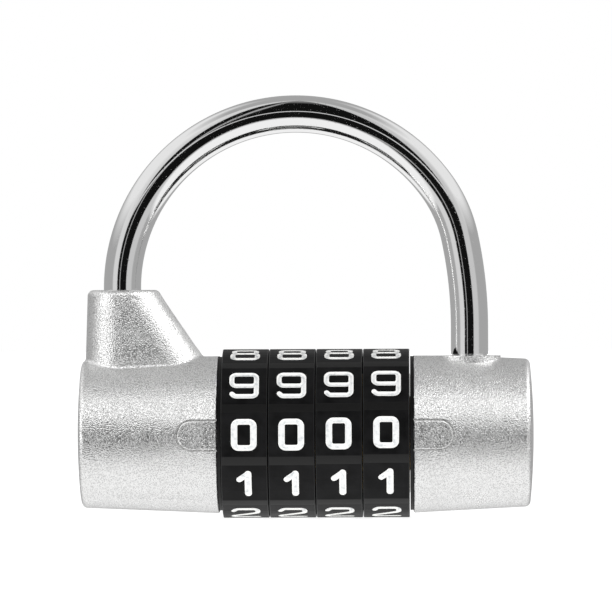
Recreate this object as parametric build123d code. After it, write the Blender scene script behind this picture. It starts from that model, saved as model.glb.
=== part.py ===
from build123d import *
import math
import os

# A hanging padlock with four number wheels on a horizontal core. X runs along the wheel axis, -Y is the
# side with the code row, and Z points up the shackle. Every shape is drawn about the wheel axis, and is
# written out about the inside of the shackle's bow, where the lock hangs. Sizes are in mm.

# shackle: a round bar, long leg (heel) on the left, short leg (toe) on the right
ROD_R = 3.0
HEEL_X = -29.55
TOE_X = 26.4
BOW_R = 28.0
BOW_Z = 23.5
BOW_X = HEEL_X + BOW_R
BOW_END_DEG = 35.0
SHOULDER_R = 22.0
SHOULDER_END_DEG = 12.0
HEEL_END_Z = -10.3
TOE_END_Z = 7.45
TOE_TIP_R = 2.8
TOE_TIP_Z = 12.7
SHACKLE_LIFT = 9.0

# wheel bank
WHEELS = 4
POSITIONS = 10
STEP_DEG = 360 / POSITIONS
PITCH = 7.53
BANK_X = 1.675
BANK_LEFT = BANK_X - WHEELS * PITCH / 2
BANK_RIGHT = BANK_X + WHEELS * PITCH / 2
WHEEL_PLAY = 0.05
WHEEL_RIDGE_R = 13.58
WHEEL_FLAT_R = 13.15
WHEEL_BORE_R = 10.55
WHEEL_BAND_R = 9.7
WHEEL_BAND_START = 4.45
TOOTH_SLOT_R = 10.5
TOOTH_SLOT_W = 1.5

# code sleeves, one inside each wheel; places along a sleeve are measured from its wheel's left side
SLEEVE_R = 9.6
SLEEVE_BORE_R = 7.85
SLEEVE_PLAY = 0.015
TOOTH_R = 10.4
TOOTH_W = 1.35
TOOTH_START = 4.5
TOOTH_END = 6.1
FLANGE_START = 2.4
FLANGE_END = 3.6
CLICK_FLUTE_R = 0.75
CLICK_FLUTE_AT = 7.55
GATE_W = 2.2
CHANGE_TRAVEL = 1.7

# core tube and the spindle inside it
CORE_R = 6.0
CORE_BORE_R = 3.68
CORE_LEFT = -25.0
CORE_RIGHT = 33.4
RUNNING = 0.05
SPINDLE_R = 3.6
SPINDLE_TRAVEL = 2.9
SPINDLE_LEFT = -24.8
SPINDLE_RIGHT = 16.0
SPIGOT_R = 1.8
SPIGOT_LENGTH = 3.0
NOSE_R = 1.6
FIN_W = 1.9
FIN_TOP = 7.6
FIN_START = 0.9
FIN_END = 2.1
PLUG_LEFT = 30.5
CLICK_GROOVE_FLOOR = 4.9
CLICK_GROOVE_W = 3.0

# cam on the heel that drives the spindle's nose
NOTCH_FLOOR = 0.5
NOTCH_TOP = 1.75
RAMP_START_Z = -0.6
RAMP = SPINDLE_TRAVEL / SHACKLE_LIFT
STOP_PIN_R = 1.0
STOP_PIN_X = HEEL_X - ROD_R
STOP_PIN_Z = 1.7

# the two cast end housings
HOUSING_GAP = 0.565
LEFT_FACE = BANK_LEFT - HOUSING_GAP
RIGHT_FACE = BANK_RIGHT + HOUSING_GAP
RIM_X = 36.0
CAP_INNER_R = 12.85
CAP_OUTER_R = 11.9
CAP_FLAT_Z = 12.45
DOME = 0.65
END_EDGE_R = 0.9
FACE_EDGE_R = 0.3
BOSS_TOP_Z = 23.2
BOSS_TOP_R = 5.6
BOSS_DRAFT = 0.032
BOSS_SLANT = 0.68
BOSS_BASE_Z = 9.2
BOSS_TOP_EDGE_R = 1.0
BOSS_FOOT_R = 0.7
PAD_R = 5.0
HEEL_BORE_R = 3.08
HEEL_BORE_END_Z = -10.8
TOE_BORE_R = 3.1
TOE_BORE_END_Z = 7.1
SPRING_POCKET_R = 10.0
SPRING_POCKET_LEFT = -19.5
RING_POCKET_R = 9.7
RING_POCKET_RIGHT = 22.6
END_CAP_R = 8.5
END_CAP_LEFT = 34.0
INDEX_HALF = 22.2
INDEX_H = 5.15
INDEX_CORNER_R = 2.45
INDEX_DEPTH = 0.45
INDEX_GAP = 0.2
INDEX_SINK = 0.2
INDEX_PAD_EDGE_R = 0.32
INDEX_PAD_ROOT = 11.3
CORE_PIN_R = 1.0
CORE_PIN_Z = -6.2
CORE_PIN_DEPTH = 5.0
LEFT_CORE_PIN_X = -22.3
RIGHT_CORE_PIN_X = 31.0

# thrust washers and code-change parts
WASHER_T = 0.5
WASHER_R = 12.4
RING_LEFT = BANK_RIGHT + 0.035
RING_RIGHT = 22.3
RING_R = 9.5
TAB_LEFT = 20.2
TAB_RIGHT = 22.2
TAB_H = 5.0
TAB_FOOT_Y = 7.2
TAB_TOP_Y = 13.3
TAB_PLAY = 0.1

# springs
SPINDLE_SPRING_R = 2.7
SPINDLE_WIRE_R = 0.35
SPINDLE_SPRING_PITCH = 1.5
CHANGE_SPRING_R = 8.3
CHANGE_WIRE_R = 0.4
CHANGE_SPRING_PITCH = 1.6

HANG_POINT = Vector(BOW_X, 0, BOW_Z + BOW_R - ROD_R)


def along_x(radius, x0, x1):
    return Pos((x0 + x1) / 2, 0, 0) * Rot(0, 90, 0) * Cylinder(radius, x1 - x0)


def along_y(radius, x, z, y0, y1):
    return Pos(x, (y0 + y1) / 2, z) * Rot(90, 0, 0) * Cylinder(radius, y1 - y0)


def along_z(radius, x, z0, z1):
    return Pos(x, 0, (z0 + z1) / 2) * Cylinder(radius, z1 - z0)


def block(x0, x1, y0, y1, z0, z1):
    middle = Pos((x0 + x1) / 2, (y0 + y1) / 2, (z0 + z1) / 2)
    return middle * Box(x1 - x0, y1 - y0, z1 - z0)


def tube(outer, inner, x0, x1):
    return along_x(outer, x0, x1) - along_x(inner, x0 - 1, x1 + 1)


def profile_xz(points, half_width):
    face = Plane.XZ * make_face(Polyline(*points, close=True))
    return extrude(face, half_width, both=True)


def on_wheel(number, place):
    return BANK_LEFT + number * PITCH + place


def turned(angle, shape):
    return Rot(angle, 0, 0) * shape


# ---- shackle ----


def bow_point(centre_x, centre_z, radius, degrees):
    angle = math.radians(degrees)
    return (centre_x + radius * math.cos(angle), 0, centre_z + radius * math.sin(angle))


def bow_path():
    """Heel straight, main arc, tighter shoulder, and a long arc that ends upright above the toe."""
    heel_end = (HEEL_X, 0, HEEL_END_Z)
    heel_top = (HEEL_X, 0, BOW_Z)
    arc_middle = bow_point(BOW_X, BOW_Z, BOW_R, (180 + BOW_END_DEG) / 2)
    arc_end = bow_point(BOW_X, BOW_Z, BOW_R, BOW_END_DEG)

    shoulder_x, _, shoulder_z = bow_point(BOW_X, BOW_Z, BOW_R - SHOULDER_R, BOW_END_DEG)
    shoulder_middle = bow_point(
        shoulder_x, shoulder_z, SHOULDER_R, (BOW_END_DEG + SHOULDER_END_DEG) / 2
    )
    shoulder_end = bow_point(shoulder_x, shoulder_z, SHOULDER_R, SHOULDER_END_DEG)

    rise = 1 - math.cos(math.radians(SHOULDER_END_DEG))
    leg_r = (TOE_X - shoulder_end[0]) / rise
    leg_x = TOE_X - leg_r
    leg_z = shoulder_end[2] - leg_r * math.sin(math.radians(SHOULDER_END_DEG))
    leg_middle = bow_point(leg_x, leg_z, leg_r, SHOULDER_END_DEG / 2)
    leg_end = (TOE_X, 0, leg_z)
    print(f"straight part of the short leg ends at z {leg_z:.3f}, arc radius {leg_r:.2f}")

    return Wire(
        [
            Line(heel_end, heel_top),
            ThreePointArc(heel_top, arc_middle, arc_end),
            ThreePointArc(arc_end, shoulder_middle, shoulder_end),
            ThreePointArc(shoulder_end, leg_middle, leg_end),
            Line(leg_end, (TOE_X, 0, TOE_TIP_Z)),
        ]
    )


def heel_cam():
    """Notch for the spindle's nose with its long ramp, and the flat and groove for the stop pin."""
    reach = ROD_R + 0.6
    ramp_end_z = RAMP_START_Z - (reach - NOTCH_FLOOR) / RAMP
    notch = profile_xz(
        [
            (HEEL_X + NOTCH_FLOOR, NOTCH_TOP),
            (HEEL_X + reach, NOTCH_TOP),
            (HEEL_X + reach, ramp_end_z),
            (HEEL_X + NOTCH_FLOOR, RAMP_START_Z),
        ],
        reach,
    )
    waist = ROD_R - STOP_PIN_R - RUNNING
    pin_top = STOP_PIN_Z + STOP_PIN_R + RUNNING
    pin_bottom = STOP_PIN_Z - STOP_PIN_R - RUNNING
    flat = block(
        HEEL_X - reach, HEEL_X - waist, -reach, reach, pin_bottom - SHACKLE_LIFT, pin_top
    )
    groove_bottom = pin_bottom - SHACKLE_LIFT
    groove_top = pin_top - SHACKLE_LIFT
    groove = along_z(reach, HEEL_X, groove_bottom, groove_top)
    groove -= along_z(waist, HEEL_X, groove_bottom, groove_top)
    return notch + flat + groove


def shackle():
    start = Plane(origin=(HEEL_X, 0, HEEL_END_Z), z_dir=(0, 0, 1))
    bar = sweep(start * Circle(ROD_R), path=bow_path())
    bar = chamfer(bar.edges().group_by(Axis.Z)[0], 0.5)
    tip = along_z(TOE_TIP_R, TOE_X, TOE_END_Z, TOE_TIP_Z)
    tip = chamfer(tip.edges().group_by(Axis.Z)[0], 0.6)
    return bar + tip - heel_cam()


# ---- housings ----


def flat_top(body):
    return body - block(-50, 50, -20, 20, CAP_FLAT_Z, BOSS_TOP_Z)


def cap_blank(face_x, rim_x):
    """Tapered round cap with a domed end."""
    apex = rim_x + math.copysign(DOME, rim_x)
    outline = [
        Line((face_x, 0), (face_x, CAP_INNER_R)),
        Line((face_x, CAP_INNER_R), (rim_x, CAP_OUTER_R)),
        TangentArc((apex, 0), (rim_x, CAP_OUTER_R), tangent=(0, 1)),
        Line((apex, 0), (face_x, 0)),
    ]
    blank = revolve(make_face(Wire(outline)), Axis.X)
    end_edge = blank.edges().sort_by(lambda edge: abs(edge.center().X - rim_x))[0]
    blank = fillet(end_edge, END_EDGE_R)
    face_edge = blank.edges().sort_by(lambda edge: abs(edge.center().X - face_x))[0]
    return fillet(face_edge, FACE_EDGE_R)


def index_recess(face_x, rim_x):
    """Shallow tongue beside the wheels that marks the row in which the code is read."""
    out = math.copysign(1, rim_x)
    length = abs(rim_x - face_x)
    taper = (CAP_INNER_R - CAP_OUTER_R) / length
    inner_x = face_x - out
    floor_start_r = CAP_INNER_R - INDEX_DEPTH + taper
    floor_end_r = CAP_OUTER_R - INDEX_DEPTH
    floor = Rot(0, 90 * out, 0) * Cone(floor_start_r, floor_end_r, length + 1)
    outline = Plane.XZ * Pos(BANK_X, 0) * RectangleRounded(
        2 * INDEX_HALF, INDEX_H, INDEX_CORNER_R
    )
    tongue = extrude(outline, 2 * CAP_INNER_R)
    tongue &= block(min(inner_x, rim_x), max(inner_x, rim_x), -20, 0, -INDEX_H, INDEX_H)
    return tongue - Pos((inner_x + rim_x) / 2, 0, 0) * floor


def index_pad(face_x, rim_x):
    """Flat-faced pad with rounded edges that stands in the recess, a thin groove all round it."""
    side = [
        (face_x, INDEX_SINK - CAP_INNER_R),
        (rim_x, INDEX_SINK - CAP_OUTER_R),
        (rim_x, -INDEX_PAD_ROOT),
        (face_x, -INDEX_PAD_ROOT),
    ]
    wedge = extrude(make_face(Polyline(*side, close=True)), INDEX_H / 2, both=True)
    outline = Plane.XZ * Pos(BANK_X, 0) * RectangleRounded(
        2 * (INDEX_HALF - INDEX_GAP), INDEX_H - 2 * INDEX_GAP, INDEX_CORNER_R - INDEX_GAP
    )
    pad = extrude(outline, 2 * CAP_INNER_R) & wedge
    return fillet(pad.faces().sort_by(Axis.Y)[0].edges(), INDEX_PAD_EDGE_R)


def boss_section(z):
    drop = BOSS_TOP_Z - z
    radius = BOSS_TOP_R + BOSS_DRAFT * drop
    left = HEEL_X - radius
    right = HEEL_X + BOSS_TOP_R + 0.1 + BOSS_SLANT * drop
    spread = right - left - 2 * radius
    return Pos((left + right) / 2, 0, z) * SlotCenterToCenter(spread, 2 * radius)


def heel_boss():
    boss = loft([boss_section(BOSS_BASE_Z), boss_section(BOSS_TOP_Z)], ruled=True)
    return fillet(boss.edges().group_by(Axis.Z)[-1], BOSS_TOP_EDGE_R)


def foot_edges(body, corner, far_corner):
    """Edges that lie wholly inside a box given by its low and high corners, as (x, z) pairs."""

    def is_foot(edge):
        box = edge.bounding_box()
        inside_x = box.min.X > corner[0] and box.max.X < far_corner[0]
        return inside_x and box.min.Z > corner[1] and box.max.Z < far_corner[1]

    return body.edges().filter_by(is_foot)


def left_blank():
    return cap_blank(LEFT_FACE, -RIM_X)


def right_blank():
    return cap_blank(RIGHT_FACE, RIM_X)


def left_housing():
    body = flat_top(left_blank()) + heel_boss()
    foot = foot_edges(body, (-RIM_X, BOSS_BASE_Z + 0.5), (LEFT_FACE - 1, CAP_FLAT_Z + 0.2))
    body = fillet(foot, BOSS_FOOT_R)
    body -= index_recess(LEFT_FACE, -RIM_X)
    body += index_pad(LEFT_FACE, -RIM_X)
    body -= along_z(HEEL_BORE_R, HEEL_X, HEEL_BORE_END_Z, BOSS_TOP_Z + 1)
    body -= along_x(CORE_R, CORE_LEFT, LEFT_FACE + 1)
    body -= along_x(SPRING_POCKET_R, SPRING_POCKET_LEFT, LEFT_FACE + 1)
    body -= along_x(NOSE_R + 0.1, HEEL_X, CORE_LEFT + 1)
    return body - left_core_pin_hole() - stop_pin_hole()


def right_housing():
    body = flat_top(right_blank() + along_z(PAD_R, TOE_X, CAP_FLAT_Z / 2, CAP_FLAT_Z + 1))
    body -= index_recess(RIGHT_FACE, RIM_X)
    body += index_pad(RIGHT_FACE, RIM_X)
    body -= along_z(TOE_BORE_R, TOE_X, TOE_BORE_END_Z, CAP_FLAT_Z + 1)
    body -= along_x(CORE_R, RIGHT_FACE - 1, END_CAP_LEFT + 1)
    body -= along_x(RING_POCKET_R, RIGHT_FACE - 1, RING_POCKET_RIGHT)
    body -= along_x(END_CAP_R, END_CAP_LEFT, RIM_X + 2)
    body -= block(
        TAB_LEFT - CHANGE_TRAVEL - TAB_PLAY,
        TAB_RIGHT + TAB_PLAY,
        CORE_R,
        20,
        -TAB_H / 2 - TAB_PLAY,
        TAB_H / 2 + TAB_PLAY,
    )
    return body - right_core_pin_hole()


def right_end_cap():
    return right_blank() & along_x(END_CAP_R, END_CAP_LEFT, RIM_X + 2)


def left_core_pin_hole():
    return along_y(CORE_PIN_R, LEFT_CORE_PIN_X, CORE_PIN_Z, -CORE_PIN_DEPTH, 20)


def right_core_pin_hole():
    return along_y(CORE_PIN_R, RIGHT_CORE_PIN_X, CORE_PIN_Z, -CORE_PIN_DEPTH, 20)


def stop_pin_hole():
    return along_y(STOP_PIN_R, STOP_PIN_X, STOP_PIN_Z, -2 * ROD_R, 20)


def left_core_pin():
    return left_blank() & left_core_pin_hole()


def right_core_pin():
    return right_blank() & right_core_pin_hole()


def shackle_stop_pin():
    return left_blank() & stop_pin_hole()


def left_thrust_washer():
    return tube(WASHER_R, SPRING_POCKET_R, LEFT_FACE, LEFT_FACE + WASHER_T)


def right_thrust_washer():
    return tube(WASHER_R, SPRING_POCKET_R, RIGHT_FACE - WASHER_T, RIGHT_FACE)


# ---- core, spindle and springs ----


def core_tube():
    core = tube(CORE_R, CORE_BORE_R, CORE_LEFT, CORE_RIGHT)
    core -= block(on_wheel(0, FIN_START) - 0.2, CORE_RIGHT, -GATE_W / 2, GATE_W / 2, 0, CORE_R + 1)
    half = CLICK_GROOVE_W / 2
    core -= block(
        BANK_LEFT + 0.5, BANK_RIGHT - 0.3, -half, half, -CORE_R - 1, -CLICK_GROOVE_FLOOR
    )
    return core - left_core_pin_hole() - right_core_pin_hole()


def spindle():
    """Locking bolt: shaft, one fin for each wheel, and a nose that rides in the heel's notch."""
    nose_tip = HEEL_X + NOTCH_FLOOR + RUNNING
    bolt = along_x(SPINDLE_R, SPINDLE_LEFT, SPINDLE_RIGHT)
    bolt += along_x(NOSE_R, nose_tip, SPINDLE_LEFT)
    bolt += along_x(SPIGOT_R, SPINDLE_RIGHT, SPINDLE_RIGHT + SPIGOT_LENGTH)
    for number in range(WHEELS):
        bolt += block(
            on_wheel(number, FIN_START), on_wheel(number, FIN_END), -FIN_W / 2, FIN_W / 2, 0, FIN_TOP
        )
    below = -2 * NOSE_R
    above = 2 * NOSE_R
    slope_bottom = nose_tip + RAMP * (RAMP_START_Z - below)
    slope_top = nose_tip + RAMP * (RAMP_START_Z - above)
    left = HEEL_X - ROD_R
    bevel = profile_xz(
        [(left, below), (slope_bottom, below), (slope_top, above), (left, above)], ROD_R
    )
    return bolt - bevel


def spring_plug():
    plug = along_x(CORE_BORE_R, PLUG_LEFT, CORE_RIGHT)
    return plug - block(CORE_RIGHT - 1, CORE_RIGHT, -5, 5, -0.4, 0.4)


def coil(radius, wire_r, pitch, x0, x1):
    length = x1 - x0 - 2 * wire_r
    path = Helix(pitch, length, radius, center=(x0 + wire_r, 0, 0), direction=(1, 0, 0))
    section = Plane(origin=path @ 0, z_dir=path % 0) * Circle(wire_r)
    return sweep(section, path=path, is_frenet=True)


def spindle_spring():
    return coil(
        SPINDLE_SPRING_R, SPINDLE_WIRE_R, SPINDLE_SPRING_PITCH, SPINDLE_RIGHT, PLUG_LEFT
    )


def change_spring():
    return coil(
        CHANGE_SPRING_R,
        CHANGE_WIRE_R,
        CHANGE_SPRING_PITCH,
        SPRING_POCKET_LEFT,
        on_wheel(0, SLEEVE_PLAY),
    )


def click_spring():
    """Leaf in the core's bottom groove with one finger under each wheel, which clicks in the flutes."""
    leaf_t = 0.35
    root = -CLICK_GROOVE_FLOOR - 0.2
    spring = block(
        BANK_LEFT + 0.7,
        BANK_RIGHT - 0.5,
        -1.3,
        1.3,
        -CLICK_GROOVE_FLOOR - leaf_t,
        -CLICK_GROOVE_FLOOR,
    )
    for number in range(WHEELS):
        outline = [
            (on_wheel(number, 6.2), root),
            (on_wheel(number, 6.0), root - leaf_t),
            (on_wheel(number, 4.95), -8.0),
            (on_wheel(number, 4.35), -8.0),
            (on_wheel(number, 4.05), -7.65),
            (on_wheel(number, 4.2), -7.4),
            (on_wheel(number, 4.7), -7.5),
            (on_wheel(number, 5.55), root),
        ]
        spring += profile_xz(outline, 0.45)
    return spring


# ---- wheels and code sleeves ----


def number_wheel(number):
    """Ten flats between narrow ridges outside; inside, a band of slots that the sleeve's teeth enter."""
    left = on_wheel(number, WHEEL_PLAY)
    right = on_wheel(number, PITCH - WHEEL_PLAY)
    band = on_wheel(number, WHEEL_BAND_START)
    rim = chamfer(along_x(WHEEL_RIDGE_R, left, right).edges().filter_by(GeomType.CIRCLE), 0.2)
    decagon = RegularPolygon(WHEEL_FLAT_R, POSITIONS, major_radius=False, rotation=STEP_DEG / 2)
    wheel = rim & extrude(Plane.YZ.offset(left) * decagon, right - left)
    wheel -= along_x(WHEEL_BORE_R, left - 1, band)
    wheel -= along_x(WHEEL_BAND_R, band, right + 1)
    half = TOOTH_SLOT_W / 2
    slot = block(band, right + 1, -half, half, WHEEL_BAND_R - 1, TOOTH_SLOT_R)
    for position in range(POSITIONS):
        wheel -= turned(position * STEP_DEG, slot)
    return wheel


def code_sleeve(number):
    """Toothed sleeve with click flutes; its gated flange is what stops the spindle's fin."""
    left = on_wheel(number, SLEEVE_PLAY)
    right = on_wheel(number, PITCH - SLEEVE_PLAY)
    sleeve = tube(SLEEVE_R, SLEEVE_BORE_R, left, right)
    half = TOOTH_W / 2
    tooth = block(
        on_wheel(number, TOOTH_START), on_wheel(number, TOOTH_END), -half, half, SLEEVE_R - 0.5, TOOTH_R
    )
    flute = Pos(0, 0, -CLICK_FLUTE_AT) * along_x(CLICK_FLUTE_R, left - 1, right + 1)
    for position in range(POSITIONS):
        sleeve += turned(position * STEP_DEG, tooth)
        sleeve -= turned(position * STEP_DEG, flute)
    flange_left = on_wheel(number, FLANGE_START)
    flange_right = on_wheel(number, FLANGE_END)
    sleeve += tube(SLEEVE_R - 1, CORE_R + RUNNING, flange_left, flange_right)
    half_gate = GATE_W / 2
    return sleeve - block(
        flange_left, flange_right, -half_gate, half_gate, CORE_R - 1, SLEEVE_BORE_R
    )


# ---- code-change slider ----


def tab_block(play):
    return block(
        TAB_LEFT - play,
        TAB_RIGHT + play,
        TAB_FOOT_Y - play,
        TAB_TOP_Y,
        -TAB_H / 2 - play,
        TAB_H / 2 + play,
    )


def change_ring():
    return tube(RING_R, CORE_R + RUNNING, RING_LEFT, RING_RIGHT) - tab_block(0)


def change_tab():
    tab = chamfer(tab_block(0).edges().group_by(Axis.Y)[-1], 0.3)
    return tab - block(TAB_LEFT + 0.8, TAB_RIGHT - 0.8, TAB_TOP_Y - 0.3, 20, -TAB_H, TAB_H)


PIECES = {
    "left_housing": left_housing,
    "right_housing": right_housing,
    "right_end_cap": right_end_cap,
    "core_tube": core_tube,
    "left_core_pin": left_core_pin,
    "right_core_pin": right_core_pin,
    "shackle_stop_pin": shackle_stop_pin,
    "left_thrust_washer": left_thrust_washer,
    "right_thrust_washer": right_thrust_washer,
    "spring_plug": spring_plug,
    "click_spring": click_spring,
    "spindle": spindle,
    "spindle_spring": spindle_spring,
    "change_spring": change_spring,
    "change_ring": change_ring,
    "change_tab": change_tab,
    "shackle": shackle,
}


def write(name, shape):
    shape = Pos(*(-HANG_POINT)) * shape
    export_step(shape, f"parts/{name}.step")
    box = shape.bounding_box()
    print(f"{name}: {len(shape.solids())} solid, {shape.volume:.1f} mm3, valid {shape.is_valid}")
    print(f"   {box.min.X:.2f} {box.min.Y:.2f} {box.min.Z:.2f} to {box.max.X:.2f} {box.max.Y:.2f} {box.max.Z:.2f}")


os.makedirs("parts", exist_ok=True)
for piece_name, make in PIECES.items():
    write(piece_name, make())
for wheel_number in range(WHEELS):
    write(f"number_wheel_{wheel_number + 1}", number_wheel(wheel_number))
    write(f"code_sleeve_{wheel_number + 1}", code_sleeve(wheel_number))
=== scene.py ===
import math

import bmesh
import bpy
from mathutils import Matrix, Vector


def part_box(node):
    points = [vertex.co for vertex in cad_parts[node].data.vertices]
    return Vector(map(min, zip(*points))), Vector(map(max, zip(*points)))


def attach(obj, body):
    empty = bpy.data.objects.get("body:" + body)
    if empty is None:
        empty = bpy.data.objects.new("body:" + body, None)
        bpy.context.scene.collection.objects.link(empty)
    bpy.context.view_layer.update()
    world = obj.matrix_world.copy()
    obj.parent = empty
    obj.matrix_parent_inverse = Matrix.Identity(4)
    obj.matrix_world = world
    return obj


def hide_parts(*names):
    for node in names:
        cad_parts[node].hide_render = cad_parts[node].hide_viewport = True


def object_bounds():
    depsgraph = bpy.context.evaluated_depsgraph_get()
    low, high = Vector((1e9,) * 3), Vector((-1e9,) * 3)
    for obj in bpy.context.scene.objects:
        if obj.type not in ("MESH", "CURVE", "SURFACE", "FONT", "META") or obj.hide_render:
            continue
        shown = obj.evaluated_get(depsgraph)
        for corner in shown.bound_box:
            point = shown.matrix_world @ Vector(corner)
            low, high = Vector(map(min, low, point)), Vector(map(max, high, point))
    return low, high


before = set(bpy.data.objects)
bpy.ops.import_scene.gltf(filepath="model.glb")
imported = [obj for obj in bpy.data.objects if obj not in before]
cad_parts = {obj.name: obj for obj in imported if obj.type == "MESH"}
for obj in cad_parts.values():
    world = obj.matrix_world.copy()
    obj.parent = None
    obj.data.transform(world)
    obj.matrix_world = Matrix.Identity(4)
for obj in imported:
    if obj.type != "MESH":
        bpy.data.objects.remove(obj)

cad_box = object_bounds()

# ---------------------------------------------------------------------------------------------------
# Studio. A white table under the lock, plain walls all round, and one dark opening in front, where the
# room shows between the walls. Polished metal shows that opening as black stripes along its length.
# ---------------------------------------------------------------------------------------------------

MM = 0.001
scene = bpy.context.scene
wheel_low, wheel_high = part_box("number_wheel_1")
last_wheel_low, last_wheel_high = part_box("number_wheel_4")
axle_z = (wheel_low.z + wheel_high.z) / 2
bank_x = (wheel_low.x + last_wheel_high.x) / 2
lock_middle_x = (cad_box[0][0] + cad_box[1][0]) / 2

scene.view_settings.view_transform = "Standard"
scene.view_settings.look = "None"
scene.view_settings.exposure = 0.0
scene.view_settings.gamma = 1.0

CAMERA_AWAY = 820 * MM
AIM_UP = 20.52 * MM
AIM_RIGHT = 0.06 * MM
CAMERA_TURN = math.radians(1.2)
CAMERA_ROLL = math.radians(-0.22)
FIELD = 98.7 * MM
camera_data = bpy.data.cameras.new("camera")
camera_data.sensor_width = 36.0
camera_data.lens = 36.0 * CAMERA_AWAY / FIELD
camera_data.clip_start = 0.01
camera = bpy.data.objects.new("camera", camera_data)
scene.collection.objects.link(camera)
aim = Vector((lock_middle_x + AIM_RIGHT, 0, axle_z + AIM_UP))
sight = Vector((math.sin(CAMERA_TURN), -math.cos(CAMERA_TURN), 0))
camera.location = aim + sight * CAMERA_AWAY
level_view = (-sight).to_track_quat("-Z", "Y")
camera.rotation_euler = (level_view @ Matrix.Rotation(CAMERA_ROLL, 3, "Z").to_quaternion()).to_euler()
scene.camera = camera


def node_maths(tree, operation, first, second=None, clamp=False):
    """One Math node; each input is a number or another node's output."""
    node = tree.nodes.new("ShaderNodeMath")
    node.operation = operation
    node.use_clamp = clamp
    for socket, value in zip(node.inputs, (first, second)):
        if value is None:
            continue
        if isinstance(value, (int, float)):
            socket.default_value = value
        else:
            tree.links.new(value, socket)
    return node.outputs[0]


def soft_between(tree, value, low, high, edge):
    """1 where value lies between low and high, fading to 0 over edge on each side."""
    rise = node_maths(tree, "DIVIDE", node_maths(tree, "SUBTRACT", value, low - edge / 2), edge, clamp=True)
    fall = node_maths(tree, "DIVIDE", node_maths(tree, "SUBTRACT", high + edge / 2, value), edge, clamp=True)
    return node_maths(tree, "MULTIPLY", rise, fall)


def blend_shade(tree, under, over, mask):
    """under where mask is 0, over where it is 1, as plain grey levels."""
    lift = node_maths(tree, "SUBTRACT", over, under)
    return node_maths(tree, "ADD", under, node_maths(tree, "MULTIPLY", lift, mask))


# the room's light comes by the way one looks: bearing from the front, minus to the left, and height above
# level, both in degrees
room = bpy.data.worlds.new("studio_room")
scene.world = room
room.use_nodes = True
room_tree = room.node_tree
room_tree.nodes.clear()
direction = room_tree.nodes.new("ShaderNodeTexCoord").outputs["Generated"]
split = room_tree.nodes.new("ShaderNodeSeparateXYZ")
room_tree.links.new(direction, split.inputs[0])
ahead = node_maths(room_tree, "MULTIPLY", split.outputs["Y"], -1.0)
round_by = node_maths(room_tree, "ARCTAN2", split.outputs["X"], ahead)
bearing = node_maths(room_tree, "DEGREES", round_by)
height = node_maths(room_tree, "DEGREES", node_maths(room_tree, "ARCSINE", split.outputs["Z"]))

# plain grey walls and ceiling, with a light board on each side of the opening in front
WALL_LEVEL = 0.4
LEFT_BOARD_LEVEL = 0.7
RIGHT_BOARD_LEVEL = 0.6
left_board = soft_between(room_tree, bearing, -60, -30, 8)
right_board = soft_between(room_tree, bearing, 25, 60, 8)
room_light = blend_shade(room_tree, WALL_LEVEL, LEFT_BOARD_LEVEL, left_board)
room_light = blend_shade(room_tree, room_light, RIGHT_BOARD_LEVEL, right_board)
# a bright coving runs along the top of both side walls
sideways = node_maths(room_tree, "ABSOLUTE", bearing)
coving = node_maths(
    room_tree,
    "MULTIPLY",
    soft_between(room_tree, height, 20, 60, 15),
    soft_between(room_tree, sideways, 50, 155, 20),
)
room_light = blend_shade(room_tree, room_light, 0.85, coving)
# below, the white table
low_down = node_maths(room_tree, "DIVIDE", node_maths(room_tree, "SUBTRACT", -24, height), 5, clamp=True)
room_light = blend_shade(room_tree, room_light, 0.95, low_down)

# the dark opening in front, which fades out overhead
above_sill = node_maths(room_tree, "DIVIDE", node_maths(room_tree, "ADD", height, 23), 2.0, clamp=True)
below_top = node_maths(room_tree, "DIVIDE", node_maths(room_tree, "SUBTRACT", 92, height), 26.0, clamp=True)
opening = node_maths(
    room_tree,
    "MULTIPLY",
    soft_between(room_tree, bearing, -30, 25, 2.0),
    node_maths(room_tree, "MULTIPLY", above_sill, below_top),
)
room_light = blend_shade(room_tree, room_light, 0.006, opening)
# two lamps hang across the opening, one upright and one level
for lamp, level in (
    (soft_between(room_tree, bearing, -16, -12, 2.0), 0.4),
    (soft_between(room_tree, height, 12, 16, 2.0), 0.7),
):
    inside = node_maths(room_tree, "MULTIPLY", lamp, opening)
    room_light = blend_shade(room_tree, room_light, level, inside)

# straight ahead the room is plain white
seen = room_tree.nodes.new("ShaderNodeLightPath").outputs["Is Camera Ray"]
room_light = blend_shade(room_tree, room_light, 1.0, seen)
background = room_tree.nodes.new("ShaderNodeBackground")
room_tree.links.new(room_light, background.inputs["Color"])
background.inputs["Strength"].default_value = 1.0
room_out = room_tree.nodes.new("ShaderNodeOutputWorld")
room_tree.links.new(background.outputs[0], room_out.inputs["Surface"])

# Table: a sheet of white acrylic lit from below, so that it reads pure white and throws no hard shadow.
table_mesh = bmesh.new()
bmesh.ops.create_grid(table_mesh, x_segments=2, y_segments=2, size=3.0)
bmesh.ops.translate(table_mesh, verts=table_mesh.verts, vec=(0, 0, cad_box[0][2] - 0.02 * MM))
table_data = bpy.data.meshes.new("table")
table_mesh.to_mesh(table_data)
table_mesh.free()
table = bpy.data.objects.new("table", table_data)
scene.collection.objects.link(table)
acrylic = bpy.data.materials.new("white_acrylic")
acrylic.use_nodes = True
acrylic_shader = acrylic.node_tree.nodes["Principled BSDF"]
acrylic_shader.inputs["Base Color"].default_value = (0.5, 0.5, 0.5, 1)
acrylic_shader.inputs["Roughness"].default_value = 0.9
acrylic_shader.inputs["Specular IOR Level"].default_value = 0.0
acrylic_shader.inputs["Emission Color"].default_value = (1, 1, 1, 1)
acrylic_shader.inputs["Emission Strength"].default_value = 0.9
table_data.materials.append(acrylic)
table.visible_glossy = False

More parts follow.
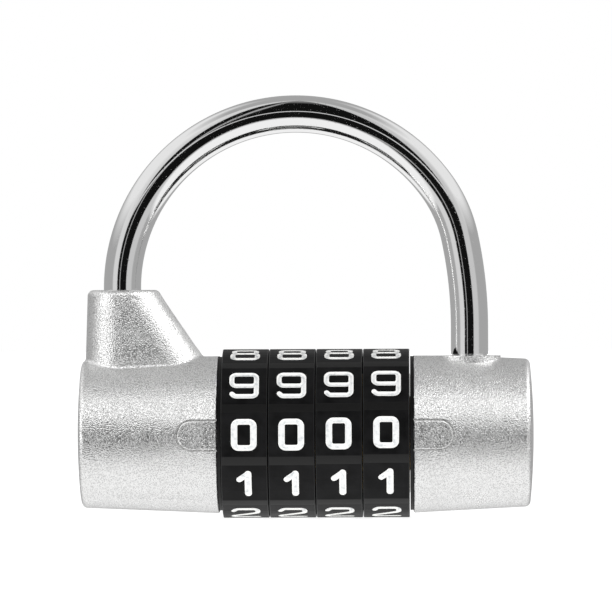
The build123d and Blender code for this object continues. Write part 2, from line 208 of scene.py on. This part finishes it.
# ---------------------------------------------------------------------------------------------------
# End housings. Zinc castings, one at each end of the wheels, shot-blasted and sprayed with a satin
# silver coat whose flakes give it a fine sparkling grain. The domed cap closes the right one.
# ---------------------------------------------------------------------------------------------------


def finish(name, base, metal, rough):
    """A new material with its Principled shader set; returns the material, its tree and its shader."""
    material = bpy.data.materials.new(name)
    material.use_nodes = True
    shader = material.node_tree.nodes["Principled BSDF"]
    shader.inputs["Base Color"].default_value = (*base, 1)
    shader.inputs["Metallic"].default_value = metal
    shader.inputs["Roughness"].default_value = rough
    return material, material.node_tree, shader


def grain(tree, scale, detail=2.0):
    """Noise on the piece's own coordinates, in metres, as a level; scale is grains per metre."""
    place = tree.nodes.new("ShaderNodeTexCoord").outputs["Object"]
    texture = tree.nodes.new("ShaderNodeTexNoise")
    tree.links.new(place, texture.inputs["Vector"])
    texture.inputs["Scale"].default_value = scale
    texture.inputs["Detail"].default_value = detail
    return texture.outputs["Fac"]


def spread(tree, value, low, high, to_low, to_high):
    """Stretches a level from low..high to to_low..to_high, and holds it at those ends."""
    node = tree.nodes.new("ShaderNodeMapRange")
    tree.links.new(value, node.inputs["Value"])
    for name, number in (("From Min", low), ("From Max", high), ("To Min", to_low), ("To Max", to_high)):
        node.inputs[name].default_value = number
    return node.outputs["Result"]


def raise_surface(tree, shader, level, distance, under=None):
    """Bump from a level; distance in metres. Goes on top of another bump when given."""
    bump = tree.nodes.new("ShaderNodeBump")
    bump.inputs["Distance"].default_value = distance
    bump.inputs["Strength"].default_value = 1.0
    tree.links.new(level, bump.inputs["Height"])
    if under is not None:
        tree.links.new(under, bump.inputs["Normal"])
    tree.links.new(bump.outputs["Normal"], shader.inputs["Normal"])
    return bump.outputs["Normal"]


silver, silver_tree, silver_shader = finish("silver_coat", (0.9, 0.9, 0.89), 1.0, 0.4)
fine_grain = grain(silver_tree, 6000, 0.0)
coarse_grain = grain(silver_tree, 2300, 2.0)
casting = grain(silver_tree, 90, 3.0)

coat_ramp = silver_tree.nodes.new("ShaderNodeMixRGB")
coat_ramp.inputs["Color1"].default_value = (0.68, 0.68, 0.675, 1)
coat_ramp.inputs["Color2"].default_value = (1.0, 1.0, 0.995, 1)
silver_tree.links.new(spread(silver_tree, fine_grain, 0.38, 0.52, 0, 1), coat_ramp.inputs["Fac"])
silver_tree.links.new(coat_ramp.outputs["Color"], silver_shader.inputs["Base Color"])
silver_tree.links.new(
    spread(silver_tree, casting, 0.3, 0.7, 0.27, 0.34), silver_shader.inputs["Roughness"]
)
coarse_bump = raise_surface(silver_tree, silver_shader, coarse_grain, 0.012 * MM)
raise_surface(silver_tree, silver_shader, fine_grain, 0.075 * MM, under=coarse_bump)

housings = bpy.data.collections.new("silver_castings")
for node_name in ("left_housing", "right_housing", "right_end_cap"):
    casting_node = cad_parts[node_name]
    casting_node.material_slots[0].material = silver
    housings.objects.link(casting_node)

# soft strips for the satin coat alone, each given by bearing, height, width, length in metres and power:
# one high in front that lays a broad sheen along the caps, and one at each side for the flanks of the boss
LAMP_AWAY = 700 * MM
for name, bearing_of, height_of, wide, long, power in (
    ("high_strip", 0, 38, 0.9, 0.36, 1.4),
    ("left_strip", -62, 10, 0.2, 0.7, 0.9),
    ("right_strip", 78, 38, 0.3, 0.45, 1.5),
):
    strip_data = bpy.data.lights.new(name, "AREA")
    strip_data.shape = "RECTANGLE"
    strip_data.size = wide
    strip_data.size_y = long
    strip_data.energy = power
    strip = bpy.data.objects.new(name, strip_data)
    scene.collection.objects.link(strip)
    turn, lift = math.radians(bearing_of), math.radians(height_of)
    strip_way = Vector((math.sin(turn) * math.cos(lift), -math.cos(turn) * math.cos(lift), math.sin(lift)))
    strip.location = Vector((lock_middle_x, 0, axle_z)) + strip_way * LAMP_AWAY
    strip.rotation_euler = strip_way.to_track_quat("Z", "Y").to_euler()
    strip.light_linking.receiver_collection = housings

# ---------------------------------------------------------------------------------------------------
# Number wheels. Turned in one piece, with ten shallow faces milled round the outside between narrow
# bands, and coated satin black. The numerals are engraved and filled with white paint. All four are alike.
# ---------------------------------------------------------------------------------------------------

WHEEL_SIDES = 10
WHEEL_STEP = math.radians(360 / WHEEL_SIDES)
ridge_r = (wheel_high.z - wheel_low.z) / 2
FACE_SINK = 0.1 * MM
face_r = ridge_r - FACE_SINK
# each face is five narrow cuts side by side, at these angles in degrees from its middle
FACE_CUTS = (-7.6, -3.8, 0, 3.8, 7.6)
BAND_HALF = 3
EDGE_BREAK = 0.16 * MM
wheel_width = wheel_high.x - wheel_low.x
BORE_R = 10.55 * MM

black, black_tree, black_shader = finish("wheel_black", (0.012, 0.012, 0.013), 0.0, 0.42)
black_shader.inputs["Specular IOR Level"].default_value = 0.14
black_grain = grain(black_tree, 2600, 3.0)
black_wear = grain(black_tree, 420, 4.0)
black_mix = black_tree.nodes.new("ShaderNodeMixRGB")
black_mix.inputs["Color1"].default_value = (0.0035, 0.0035, 0.0037, 1)
black_mix.inputs["Color2"].default_value = (0.0085, 0.0085, 0.009, 1)
black_tree.links.new(spread(black_tree, black_wear, 0.35, 0.7, 0, 1), black_mix.inputs["Fac"])
black_tree.links.new(black_mix.outputs["Color"], black_shader.inputs["Base Color"])
black_tree.links.new(
    spread(black_tree, black_wear, 0.3, 0.7, 0.36, 0.5), black_shader.inputs["Roughness"]
)
raise_surface(black_tree, black_shader, black_grain, 0.006 * MM)

band_black, band_tree, band_shader = finish("wheel_band_black", (0.008, 0.008, 0.008), 0.0, 0.34)
band_shader.inputs["Specular IOR Level"].default_value = 0.34
raise_surface(band_tree, band_shader, grain(band_tree, 2600, 3.0), 0.005 * MM)

# two white paints, both mottled by the same random wear: a plain one for the walls of each cut, and a greyer
# copy for the floor of each cut, whose darker tone is painted shade in the bottom of the groove
numeral_paints = []
for name, clean, dirty in (
    ("numeral_white", (0.96, 0.96, 0.94, 1), (0.78, 0.79, 0.8, 1)),
    ("numeral_white_shaded_floor", (0.80, 0.81, 0.81, 1), (0.5, 0.53, 0.55, 1)),
):
    numeral_paint, paint_tree, paint_shader = finish(name, (0.9, 0.9, 0.9), 0.0, 0.45)
    paint_wear = grain(paint_tree, 1500, 4.0)
    paint_mix = paint_tree.nodes.new("ShaderNodeMixRGB")
    paint_mix.inputs["Color1"].default_value = clean
    paint_mix.inputs["Color2"].default_value = dirty
    paint_tree.links.new(spread(paint_tree, paint_wear, 0.5, 0.75, 0, 1), paint_mix.inputs["Fac"])
    paint_tree.links.new(paint_mix.outputs["Color"], paint_shader.inputs["Base Color"])
    raise_surface(paint_tree, paint_shader, paint_wear, 0.03 * MM)
    numeral_paints.append(numeral_paint)
paint, paint_shaded_floor = numeral_paints

# Each numeral is one or more cuts of the engraver: a line's points in mm from the face's middle, whether
# it closes on itself, and the cutter's width. Corners are rounded by CORNER.
CORNER = 0.75
NUMERALS = {
    0: [([(-1.56, -2.17), (1.56, -2.17), (1.56, 2.17), (-1.56, 2.17)], True, 0.95)],
    1: [
        ([(0.6, -2.05), (0.6, 2.1)], False, 1.12),
        ([(0.55, 2.05), (-0.8, 0.98)], False, 1.0),
    ],
    2: [
        (
            [
                (-1.95, 1.45), (-1.5, 2.2), (1.99, 2.2), (1.99, 0.6),
                (-1.99, -1.15), (-1.99, -2.2), (1.99, -2.2),
            ],
            False,
            0.82,
        )
    ],
    3: [
        ([(-1.95, 1.6), (-1.5, 2.2), (1.99, 2.2), (1.99, 0.1), (-0.9, 0.1)], False, 0.82),
        ([(0.8, 0.1), (1.99, 0.1), (1.99, -2.2), (-1.5, -2.2), (-1.95, -1.6)], False, 0.82),
    ],
    4: [([(1.0, -2.2), (1.0, 2.1), (-1.9, -0.9), (2.1, -0.9)], False, 0.82)],
    5: [
        (
            [
                (1.9, 2.2), (-1.95, 2.2), (-1.95, 0.45), (1.99, 0.45),
                (1.99, -2.2), (-1.5, -2.2), (-1.95, -1.7),
            ],
            False,
            0.82,
        )
    ],
    6: [
        ([(-1.99, -2.2), (1.99, -2.2), (1.99, 0.2), (-1.99, 0.2)], True, 0.82),
        ([(-1.99, -0.5), (-1.99, 2.2), (1.5, 2.2), (1.95, 1.75)], False, 0.82),
    ],
    7: [([(-1.99, 2.2), (1.8, 2.2), (-0.35, -2.2)], False, 0.85)],
    8: [
        ([(-1.99, -2.2), (1.99, -2.2), (1.99, 0.1), (-1.99, 0.1)], True, 0.82),
        ([(-1.8, 0.1), (1.8, 0.1), (1.8, 2.2), (-1.8, 2.2)], True, 0.82),
    ],
    9: [
        ([(-1.99, -0.2), (1.99, -0.2), (1.99, 2.2), (-1.99, 2.2)], True, 0.82),
        ([(1.99, 0.5), (1.99, -2.2), (-1.5, -2.2), (-1.95, -1.75)], False, 0.82),
    ],
}
ZERO_UPRIGHT = 1.04
NUMERAL_WIDER = 0.985
NUMERAL_TALLER = 0.96
CUT_DEPTH = 0.24
CUT_ABOVE = 0.3
RUN_STEP = 0.5
CORNER_STEPS = 6
TIP_ANGLES = (35, 62, 84)


def rounded_line(points, closed):
    """The line with each corner turned into an arc of radius CORNER or less, and points every RUN_STEP."""
    count = len(points)
    smooth = []
    for index, corner in enumerate(points):
        if not closed and index in (0, count - 1):
            smooth.append(corner)
            continue
        here = Vector(corner)
        before = Vector(points[index - 1])
        after = Vector(points[(index + 1) % count])
        back = (before - here).normalized()
        on = (after - here).normalized()
        half = back.angle(on) / 2
        reach = min(CORNER / math.tan(half), 0.49 * (before - here).length, 0.49 * (after - here).length)
        radius = reach * math.tan(half)
        centre = here + (back + on).normalized() * (radius / math.sin(half))
        start = here + back * reach - centre
        sweep = start.angle_signed(here + on * reach - centre)
        for part in range(CORNER_STEPS + 1):
            smooth.append(tuple(centre + Matrix.Rotation(-sweep * part / CORNER_STEPS, 2) @ start))
    stepped = []
    for index, point in enumerate(smooth):
        stepped.append(point)
        if index + 1 == len(smooth) and not closed:
            break
        here, there = Vector(point), Vector(smooth[(index + 1) % len(smooth)])
        pieces = max(1, round((there - here).length / RUN_STEP))
        stepped += [tuple(here.lerp(there, part / pieces)) for part in range(1, pieces)]
    return stepped


def engraver_cut(points, closed, width, upright_width=None):
    """A bar along the line, with the section of the cutter's tip below and round ends, in the XY plane."""
    tip = bpy.data.curves.new("tip", "CURVE")
    tip.dimensions = "2D"
    outline = tip.splines.new("POLY")
    half = width / 2
    shape = [
        (-half, CUT_ABOVE),
        (-half, -0.06),
        (-half + 0.09, -0.17),
        (-half + 0.24, -CUT_DEPTH),
        (half - 0.24, -CUT_DEPTH),
        (half - 0.09, -0.17),
        (half, -0.06),
        (half, CUT_ABOVE),
    ]
    outline.points.add(len(shape) - 1)
    for point, (across, up) in zip(outline.points, shape):
        point.co = (across, up, 0, 1)
    outline.use_cyclic_u = True
    tip_object = bpy.data.objects.new("tip", tip)
    scene.collection.objects.link(tip_object)

    track = bpy.data.curves.new("track", "CURVE")
    track.dimensions = "3D"
    track.twist_mode = "Z_UP"
    track.bevel_mode = "OBJECT"
    track.bevel_object = tip_object
    track.use_fill_caps = not closed
    line = track.splines.new("POLY")
    smooth = rounded_line(points, closed)
    swells = [1.0] * len(smooth)
    if upright_width:
        for index in range(len(smooth)):
            onward = Vector(smooth[(index + 1) % len(smooth)]) - Vector(smooth[index - 1])
            swells[index] = 1 + (upright_width / width - 1) * abs(onward.normalized().y)
    if not closed:
        for tip_turn in (math.radians(angle) for angle in TIP_ANGLES):
            reach = half * (math.sin(tip_turn) - math.sin(math.acos(swells[0])))
            first, last = Vector(smooth[0]), Vector(smooth[-1])
            before_first = first + (first - Vector(smooth[1])).normalized() * reach
            after_last = last + (last - Vector(smooth[-2])).normalized() * reach
            smooth = [tuple(before_first), *smooth, tuple(after_last)]
            swells = [math.cos(tip_turn), *swells, math.cos(tip_turn)]
    line.points.add(len(smooth) - 1)
    for point, (x, y), swell in zip(line.points, smooth, swells):
        point.co = (x, y, 0, 1)
        point.radius = swell
    line.use_cyclic_u = closed
    track_object = bpy.data.objects.new("track", track)
    scene.collection.objects.link(track_object)
    bpy.context.view_layer.update()
    depsgraph = bpy.context.evaluated_depsgraph_get()
    cut = bpy.data.meshes.new_from_object(track_object.evaluated_get(depsgraph))
    for leftover in (track_object, tip_object):
        bpy.data.objects.remove(leftover)
    return cut


def object_of(name, shape_mesh):
    """Turns a bmesh into a linked object and frees the bmesh."""
    data = bpy.data.meshes.new(name)
    shape_mesh.to_mesh(data)
    shape_mesh.free()
    made = bpy.data.objects.new(name, data)
    scene.collection.objects.link(made)
    return made


def numeral_cutters():
    """All ten numerals' cuts, wrapped round a wheel whose middle is at the origin."""
    cutters = bmesh.new()
    for numeral, lines in NUMERALS.items():
        for points, closed, width in lines:
            cut = engraver_cut(points, closed, width, ZERO_UPRIGHT if numeral == 0 else None)
            piece = bmesh.new()
            piece.from_mesh(cut)
            bmesh.ops.remove_doubles(piece, verts=piece.verts, dist=0.001)
            bmesh.ops.recalc_face_normals(piece, faces=piece.faces)
            for vertex in piece.verts:
                across, up, out = vertex.co * MM
                across *= NUMERAL_WIDER
                up *= NUMERAL_TALLER
                angle = up / face_r
                radius = face_r + out
                vertex.co = (across, -radius * math.cos(angle), radius * math.sin(angle))
            bmesh.ops.rotate(piece, verts=piece.verts, matrix=Matrix.Rotation(WHEEL_STEP * numeral, 3, "X"))
            placed = bpy.data.meshes.new("placed")
            piece.to_mesh(placed)
            piece.free()
            cutters.from_mesh(placed)
            bpy.data.meshes.remove(placed)
            bpy.data.meshes.remove(cut)
    made = object_of("numeral_cutters", cutters)
    made.data.materials.clear()
    made.data.materials.append(paint)
    made.data.materials.append(paint_shaded_floor)
    # faces deep in a cut take the greyer paint, as painted shade on the floor of the groove
    for face in made.data.polygons:
        deep = math.hypot(face.center.y, face.center.z) < face_r - (CUT_DEPTH - 0.02) * MM
        face.material_index = 1 if deep else 0
    return made


def apply_modifiers(made):
    """Bakes an object's modifiers into its mesh."""
    bpy.context.view_layer.update()
    depsgraph = bpy.context.evaluated_depsgraph_get()
    baked = bpy.data.meshes.new_from_object(made.evaluated_get(depsgraph))
    made.modifiers.clear()
    made.data = baked
    return made


def cut_away(made, cutter, self_crossing=False):
    """Exact boolean difference, after which the cutter is gone."""
    difference = made.modifiers.new("cut", "BOOLEAN")
    difference.operation = "DIFFERENCE"
    difference.solver = "EXACT"
    difference.use_self = self_crossing
    difference.material_mode = "TRANSFER"
    difference.object = cutter
    apply_modifiers(made)
    bpy.data.objects.remove(cutter)
    return made


def disc(radius, width, segments):
    """A round slug along X about the origin."""
    slug = bmesh.new()
    bmesh.ops.create_cone(
        slug, cap_ends=True, segments=segments, radius1=radius, radius2=radius, depth=width
    )
    bmesh.ops.rotate(slug, verts=slug.verts, matrix=Matrix.Rotation(math.pi / 2, 3, "Y"))
    return slug


blank = disc(ridge_r, wheel_width, 240)
for cut_at in (step * WHEEL_STEP + math.radians(off) for step in range(WHEEL_SIDES) for off in FACE_CUTS):
    outward = Matrix.Rotation(cut_at, 3, "X") @ Vector((0, -1, 0))
    milled = bmesh.ops.bisect_plane(
        blank,
        geom=blank.verts[:] + blank.edges[:] + blank.faces[:],
        plane_co=outward * face_r,
        plane_no=outward,
        clear_outer=True,
    )
    rim = [edge for edge in milled["geom_cut"] if isinstance(edge, bmesh.types.BMEdge)]
    bmesh.ops.edgeloop_fill(blank, edges=rim)
side_edges = [edge for edge in blank.edges if edge.calc_face_angle(0) > 1.2]
bmesh.ops.bevel(
    blank,
    geom=side_edges,
    offset=EDGE_BREAK,
    offset_type="OFFSET",
    segments=3,
    profile=0.5,
    affect="EDGES",
    material=-1,
)
bmesh.ops.recalc_face_normals(blank, faces=blank.faces)
# the bands between the faces and the broken edges keep a little more gloss than the faces
for face in blank.faces:
    middle = face.calc_center_median()
    past_band = math.degrees(math.atan2(middle.z, -middle.y)) % 36 - 18
    on_band = abs(face.normal.x) < 0.2 and abs(past_band) < BAND_HALF
    on_edge = 0.2 < abs(face.normal.x) < 0.95
    if on_band or on_edge:
        face.material_index = 1
wheel_pattern = object_of("wheel_pattern", blank)
wheel_pattern.data.materials.append(black)
wheel_pattern.data.materials.append(band_black)
cut_away(wheel_pattern, numeral_cutters(), self_crossing=True)
bore = object_of("bore", disc(BORE_R, wheel_width * 2, 128))
bore.data.materials.append(black)
cut_away(wheel_pattern, bore)

# the wheels stand up to two degrees off their clicks, as on any lock that has been handled
WHEEL_TURN = (-0.4, -0.5, -1.2, -2.0)
number_wheels = bpy.data.collections.new("number_wheels")
for number, off_click in enumerate(WHEEL_TURN, start=1):
    low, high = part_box(f"number_wheel_{number}")
    data = wheel_pattern.data.copy()
    centre = Vector(((low.x + high.x) / 2, 0, axle_z))
    data.transform(Matrix.Translation(centre) @ Matrix.Rotation(math.radians(off_click), 4, "X"))
    wheel = bpy.data.objects.new(f"engraved_wheel_{number}", data)
    scene.collection.objects.link(wheel)
    number_wheels.objects.link(wheel)
    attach(wheel, f"wheel_{number}")
    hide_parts(f"number_wheel_{number}")
bpy.data.objects.remove(wheel_pattern)

# a broad lamp from the front that only the wheels take, without a highlight, so that the paint reads white
numeral_fill = bpy.data.lights.new("numeral_fill", "AREA")
numeral_fill.size = 0.5
numeral_fill.energy = 3.2
fill_lamp = bpy.data.objects.new("numeral_fill", numeral_fill)
scene.collection.objects.link(fill_lamp)
fill_way = Vector((0, -math.cos(math.radians(12)), math.sin(math.radians(12))))
fill_lamp.location = Vector((bank_x, 0, axle_z)) + fill_way * LAMP_AWAY
fill_lamp.rotation_euler = fill_way.to_track_quat("Z", "Y").to_euler()
fill_lamp.visible_glossy = False
fill_lamp.light_linking.receiver_collection = number_wheels

# ---------------------------------------------------------------------------------------------------
# Shackle. A 6 mm round steel bar, bent to the bow, polished and chrome plated. The long leg stays in
# the left housing, and the short leg, turned down a little at its tip, drops into the right one.
# ---------------------------------------------------------------------------------------------------

shackle_low, shackle_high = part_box("shackle")
ROD_R = 3.0 * MM
heel_x = shackle_low.x + ROD_R
toe_x = shackle_high.x - ROD_R
BOW_R = 28.0 * MM
bow_x = heel_x + BOW_R
bow_z = shackle_high.z - ROD_R - BOW_R
BOW_TURN = math.radians(145)
SHOULDER_R = 22.0 * MM
SHOULDER_TURN = math.radians(23)
LEG_TURN = math.radians(12)
TIP_R = 2.8 * MM
TIP_LENGTH = 5.25 * MM
TIP_STEP = 0.05 * MM
TIP_CHAMFER = 0.6 * MM
TIP_END_UP = 7.45 * MM
HEEL_CHAMFER = 0.5 * MM
toe_end_z = axle_z + TIP_END_UP

bar = bmesh.new()


def draw_on(end, up, scale=1.0):
    """Draws the bar's open end straight on, scales it about its middle, and gives the new end."""
    grown = bmesh.ops.extrude_edge_only(bar, edges=end)["geom"]
    fresh = [point for point in grown if isinstance(point, bmesh.types.BMVert)]
    bmesh.ops.translate(bar, verts=fresh, vec=(0, 0, up))
    middle = sum((point.co for point in fresh), Vector()) / len(fresh)
    bmesh.ops.scale(bar, verts=fresh, vec=(scale, scale, scale), space=Matrix.Translation(-middle))
    return [edge for edge in grown if isinstance(edge, bmesh.types.BMEdge)]


def bend_on(end, centre, turn, steps):
    """Draws the open end round an axis along Y, clockwise from the front, and gives the new end."""
    made = bmesh.ops.spin(
        bar, geom=end, cent=centre, axis=(0, 1, 0), angle=turn, steps=steps, use_merge=False
    )
    return [edge for edge in made["geom_last"] if isinstance(edge, bmesh.types.BMEdge)]


# from the foot of the long leg, round the bow and its tighter shoulder, and down the gently bent short leg
bmesh.ops.create_circle(bar, cap_ends=True, segments=72, radius=ROD_R - HEEL_CHAMFER)
bmesh.ops.translate(bar, verts=bar.verts, vec=(heel_x, 0, shackle_low.z))
end = draw_on(bar.edges[:], HEEL_CHAMFER, ROD_R / (ROD_R - HEEL_CHAMFER))
end = draw_on(end, bow_z - shackle_low.z - HEEL_CHAMFER)
end = bend_on(end, (bow_x, 0, bow_z), BOW_TURN, 116)
across = BOW_R - SHOULDER_R
shoulder_x = bow_x - across * math.cos(BOW_TURN)
shoulder_z = bow_z + across * math.sin(BOW_TURN)
end = bend_on(end, (shoulder_x, 0, shoulder_z), SHOULDER_TURN, 18)
shoulder_end = BOW_TURN + SHOULDER_TURN
end_x = shoulder_x - SHOULDER_R * math.cos(shoulder_end)
end_z = shoulder_z + SHOULDER_R * math.sin(shoulder_end)
leg_r = (toe_x - end_x) / (1 - math.cos(LEG_TURN))
leg_z = end_z - leg_r * math.sin(LEG_TURN)
end = bend_on(end, (toe_x - leg_r, 0, leg_z), LEG_TURN, 16)
end = draw_on(end, toe_end_z + TIP_LENGTH - leg_z)
end = draw_on(end, -TIP_STEP, TIP_R / ROD_R)
end = draw_on(end, TIP_STEP + TIP_CHAMFER - TIP_LENGTH)
end = draw_on(end, -TIP_CHAMFER, 1 - TIP_CHAMFER / TIP_R)
bmesh.ops.edgenet_fill(bar, edges=end)
bmesh.ops.remove_doubles(bar, verts=bar.verts, dist=0.0005 * MM)
bmesh.ops.recalc_face_normals(bar, faces=bar.faces)
shackle_bar = object_of("shackle_bar", bar)

chrome, chrome_tree, chrome_shader = finish("chrome_plate", (0.9, 0.9, 0.9), 1.0, 0.035)
polish = grain(chrome_tree, 700, 4.0)
chrome_tree.links.new(
    spread(chrome_tree, polish, 0.35, 0.75, 0.02, 0.07), chrome_shader.inputs["Roughness"]
)
pits = grain(chrome_tree, 5000, 2.0)
raise_surface(chrome_tree, chrome_shader, spread(chrome_tree, pits, 0.66, 0.74, 0, 1), 0.004 * MM)
shackle_bar.data.materials.append(chrome)
shackle_bar.data.shade_smooth()
shackle_bar.data.set_sharp_from_angle(angle=math.radians(30))
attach(shackle_bar, "shackle")
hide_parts("shackle")

# ---------------------------------------------------------------------------------------------------
# Small parts: black washers beside the wheels, steel pins and slider tab, and the brass and spring
# steel works inside the core.
# ---------------------------------------------------------------------------------------------------


def turned_metal(name, base, rough):
    """A bare metal with fine tool marks."""
    material, tree, shader = finish(name, base, 1.0, rough)
    marks = grain(tree, 3000, 3.0)
    worn_rough = spread(tree, marks, 0.3, 0.7, rough - 0.06, rough + 0.08)
    tree.links.new(worn_rough, shader.inputs["Roughness"])
    raise_surface(tree, shader, marks, 0.004 * MM)
    return material


washer_black, washer_tree, washer_shader = finish("washer_black", (0.008, 0.008, 0.008), 0.0, 0.55)
raise_surface(washer_tree, washer_shader, grain(washer_tree, 2500), 0.006 * MM)
brass = turned_metal("turned_brass", (0.72, 0.53, 0.25), 0.32)
steel = turned_metal("ground_steel", (0.56, 0.56, 0.57), 0.3)
spring_steel = turned_metal("spring_steel", (0.34, 0.34, 0.36), 0.34)
works = {
    washer_black: ("left_thrust_washer", "right_thrust_washer"),
    brass: ("core_tube", "spring_plug", "change_ring", *(f"code_sleeve_{number}" for number in range(1, 5))),
    steel: ("left_core_pin", "right_core_pin", "shackle_stop_pin", "spindle", "change_tab"),
    spring_steel: ("click_spring", "spindle_spring", "change_spring"),
}
for material, node_names in works.items():
    for node_name in node_names:
        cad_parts[node_name].material_slots[0].material = material
